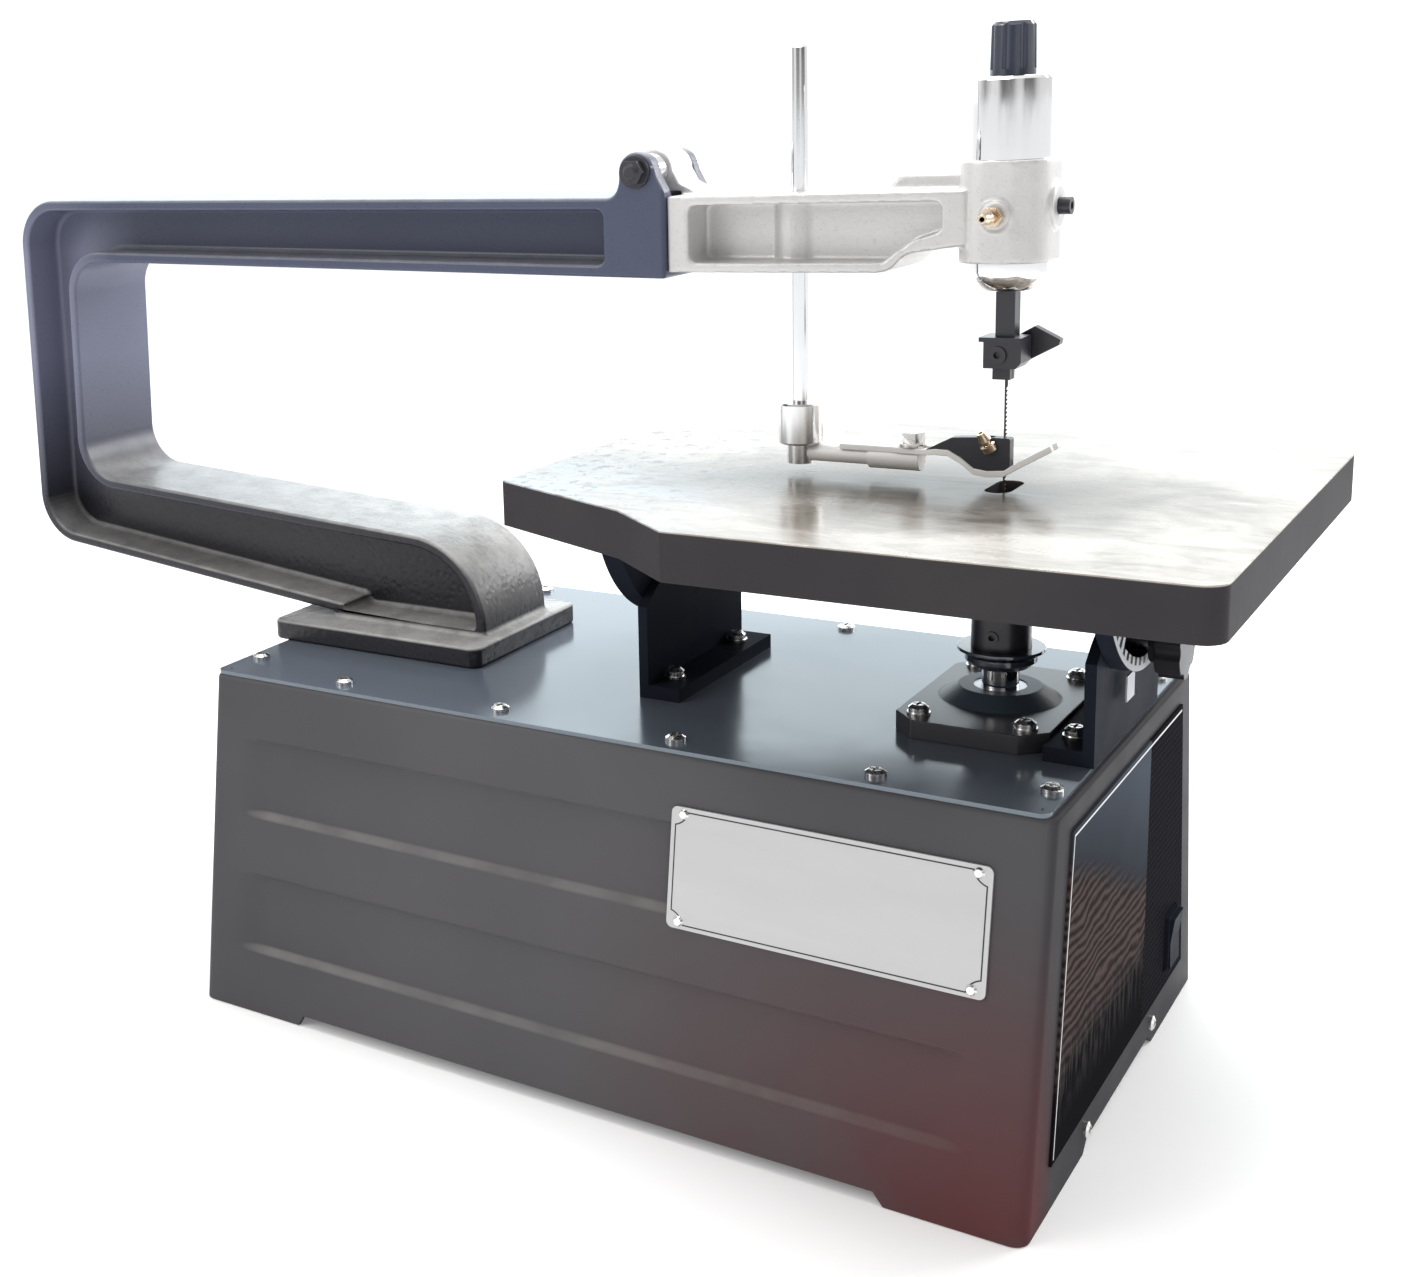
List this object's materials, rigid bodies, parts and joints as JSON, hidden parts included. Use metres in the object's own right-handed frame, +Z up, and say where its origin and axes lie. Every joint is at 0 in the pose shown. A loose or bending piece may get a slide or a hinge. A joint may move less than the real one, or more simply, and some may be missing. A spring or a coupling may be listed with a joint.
{
  "type": "rigid-arm scroll saw",
  "caption": "Bench scroll saw with a sheet-metal base, a deep cast C-frame, a hinged front arm with a spring head, a tilting table and a fork hold-down.",
  "frame": {"origin": "centre of the rectangle of the four bench bolt holes, on the bench surface", "axes": "+X from the column towards the operator's end, +Y to the side away from the name plate, +Z up out of the bench"},
  "size_m": [0.731, 0.288, 0.5002],
  "materials": {
    "base_paint": "semi-gloss charcoal powder coat",
    "top_plate_paint": "satin grey",
    "screw_zinc": "bright zinc",
    "panel_black": "gloss black with a thin white border",
    "plate_silver": "satin with a printed border line",
    "frame_paint": "grainy blue-grey paint on cast iron",
    "bolt_steel": "plain steel",
    "bracket_black": "semi-gloss black",
    "bronze": "sintered bronze",
    "motor_paint": "satin grey",
    "steel": "ground steel",
    "box_black": "matte black",
    "black_oxide": "black oxide",
    "knob_black": "gloss black",
    "table_iron": "ground and polished top, oiled",
    "trunnion_iron": "machined, with a tilt scale on the front one",
    "arm_aluminium": "satin sand casting",
    "chrome": "polished",
    "brass": "turned brass",
    "spring_steel": "spring steel",
    "blade_steel": "hardened steel",
    "switch_black": "gloss black"
  },
  "bodies": {
    "base": {"base_side_near": "base_paint", "base_side_far": "base_paint", "base_end_front": "base_paint", "base_end_rear": "base_paint", "top_plate": "top_plate_paint", "cover_screws": "screw_zinc", "control_panel": "panel_black", "name_plate": "plate_silver", "name_plate_rivets": "screw_zinc", "c_frame": "frame_paint", "c_frame_bolts": "bolt_steel", "rear_bracket": "bracket_black", "front_bracket": "bracket_black", "bracket_screws": "screw_zinc", "bearing_flange": "bracket_black", "flange_screws": "screw_zinc", "lower_bush": "bronze", "motor_body": "motor_paint", "motor_bracket": "bracket_black", "motor_bolts": "bolt_steel", "control_box": "box_black", "cord_gland": "box_black", "hinge_pin": "black_oxide", "hinge_spacer": "chrome", "hinge_nut": "screw_zinc", "tilt_lock_stud": "bolt_steel"},
    "table": {"table_top": "table_iron", "rear_trunnion": "trunnion_iron", "front_trunnion": "trunnion_iron", "trunnion_bolts": "bolt_steel"},
    "tilt_knob": {"tilt_lock_knob": "knob_black"},
    "arm": {"front_arm": "arm_aluminium", "plunger_tube": "chrome", "tube_clamp_bolt": "black_oxide", "air_nozzle": "brass", "tension_spring": "spring_steel", "lower_collar": "chrome"},
    "tension": {"tension_knob": "knob_black"},
    "upper_slide": {"upper_plunger": "bolt_steel", "upper_clamp": "black_oxide", "clamp_set_screw": "black_oxide", "clamp_jaw": "black_oxide"},
    "lever": {"clamp_lever": "black_oxide"},
    "hold_down": {"holddown_post": "chrome", "post_collar": "chrome", "holddown_rod": "chrome", "foot_holder": "black_oxide", "holddown_foot": "steel", "foot_bolt": "screw_zinc", "air_fitting": "brass"},
    "post_lock": {"post_lock_screw": "knob_black"},
    "lower_slide": {"lower_plunger": "chrome", "dust_discs": "black_oxide", "lower_chuck": "black_oxide", "lower_chuck_screw": "black_oxide", "blade": "blade_steel"},
    "crank": {"crank_disc": "steel", "motor_shaft": "steel"},
    "rod": {"connecting_rod": "steel"},
    "switch": {"power_switch": "switch_black"}
  },
  "joints": [
    {"name": "table_tilt", "type": "hinge", "parent": "base", "child": "table", "pos_m": [0, 0, 0.292], "axis": [1, 0, 0], "range_deg": [-30, 30]},
    {"name": "tilt_lock_turn", "type": "hinge", "parent": "base", "child": "tilt_knob", "pos_m": [0.24, 0, 0.226], "axis": [1, 0, 0], "range_deg": [-180, 180]},
    {"name": "arm_lift", "type": "hinge", "parent": "base", "child": "arm", "pos_m": [-0.005, 0, 0.4405], "axis": [0, -1, 0], "range_deg": [0, 85]},
    {"name": "tension_turn", "type": "hinge", "parent": "arm", "child": "tension", "pos_m": [0.166, 0, 0.48], "axis": [0, 0, 1], "range_deg": [-180, 180]},
    {"name": "blade_stroke", "type": "slide", "parent": "base", "child": "lower_slide", "axis": [0, 0, 1], "range_m": [-0.009, 0.009]},
    {"name": "upper_stroke", "type": "slide", "parent": "arm", "child": "upper_slide", "axis": [0, 0, 1], "range_m": [-0.009, 0.009], "deforming": ["tension_spring"]},
    {"name": "clamp_lever_turn", "type": "hinge", "parent": "upper_slide", "child": "lever", "pos_m": [0.164, 0.011, 0.354], "axis": [0, 1, 0], "range_deg": [0, 90]},
    {"name": "post_height", "type": "slide", "parent": "arm", "child": "hold_down", "axis": [0, 0, 1], "range_m": [0, 0.012]},
    {"name": "post_lock_turn", "type": "hinge", "parent": "arm", "child": "post_lock", "pos_m": [0.066, 0.035, 0.41], "axis": [0, 1, 0], "range_deg": [-180, 180]},
    {"name": "crank_spin", "type": "hinge", "parent": "base", "child": "crank", "pos_m": [0.142, 0, 0.078], "axis": [1, 0, 0], "continuous": true},
    {"name": "rod_swing", "type": "hinge", "parent": "crank", "child": "rod", "pos_m": [0.15, 0.009, 0.078], "axis": [1, 0, 0], "continuous": true},
    {"name": "switch_rock", "type": "hinge", "parent": "base", "child": "switch", "pos_m": [0.2245, 0.085, 0.047], "axis": [0, 1, 0], "range_deg": [-8, 8]}
  ],
  "couplings": [
    {"joint": "upper_stroke", "follows": "blade_stroke", "ratio": 1},
    {"joint": "rod_swing", "follows": "crank_spin", "ratio": -1}
  ]
}
